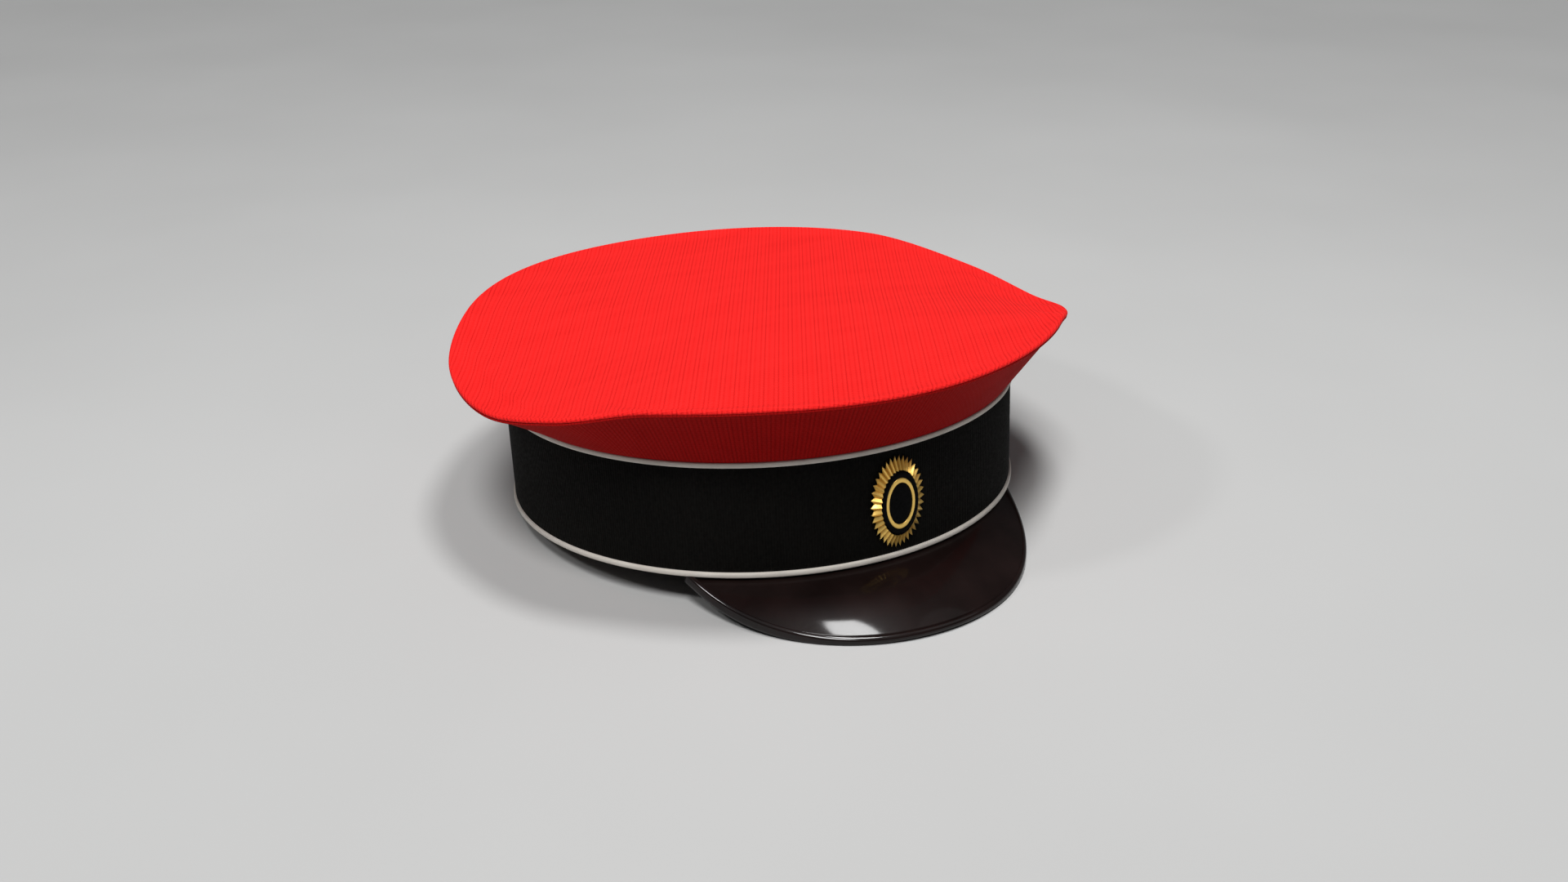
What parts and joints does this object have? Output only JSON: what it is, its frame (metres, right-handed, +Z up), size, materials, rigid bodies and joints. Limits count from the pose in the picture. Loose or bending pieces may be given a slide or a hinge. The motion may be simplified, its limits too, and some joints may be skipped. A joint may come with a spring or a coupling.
{
  "type": "military peaked cap",
  "caption": "Soft round red cap drooping over the ears, black band between two white pipings, short black glossy visor and an oval gilt sunburst cockade.",
  "frame": {"origin": "centre of the box round the cap, on the surface the cap stands on", "axes": "+Z up, the front and the visor towards -Y, the wearer's left towards +X; the band's own axis leans back 4 degrees from +Z towards +Y"},
  "size_m": [0.24, 0.2502, 0.0839],
  "materials": {
    "red_wool": "fine woven wool, matt",
    "red_cord": "folded wool edge, matt",
    "spring_steel": "blued spring steel, satin",
    "brass": "pressed brass, satin",
    "felt": "grey wadding felt",
    "satin": "dark twill-backed satin lining",
    "celluloid": "clear celluloid patch, glossy",
    "black_ribbed_cloth": "fine upright rib weave, matt",
    "board": "pressed fibre board",
    "white_cord": "off-white covered piping cord",
    "leather": "brown calf, semi-matt",
    "tape": "woven cotton tape",
    "patent_leather": "black patent lacquer, high gloss",
    "visor_underside_leather": "dark skiver leather, semi-matt",
    "gilt": "gilded brass, bright",
    "black_enamel": "black enamel, glossy"
  },
  "bodies": {
    "root": {"crown_top": "red_wool", "crown_welt": "red_cord", "crown_front_panel": "red_wool", "crown_rear_left_panel": "red_wool", "crown_rear_right_panel": "red_wool", "crown_hoop": "spring_steel", "hoop_ferrule": "brass", "front_stay": "spring_steel", "front_padding": "felt", "crown_lining_top": "satin", "crown_lining_side": "satin", "sweat_shield": "celluloid", "band_cloth": "black_ribbed_cloth", "band_stiffener": "board", "piping_upper": "white_cord", "piping_lower": "white_cord", "sweatband": "leather", "sweatband_tape": "tape", "sweatband_reed": "leather", "visor_shell": "patent_leather", "visor_core": "board", "visor_lining": "visor_underside_leather", "visor_rim": "patent_leather", "cockade_rim": "gilt", "cockade_backplate": "brass", "cockade_black_ring": "black_enamel", "cockade_gold_ring": "gilt", "cockade_centre": "black_enamel", "cockade_prong_upper": "brass", "cockade_prong_lower": "brass"}
  },
  "joints": []
}
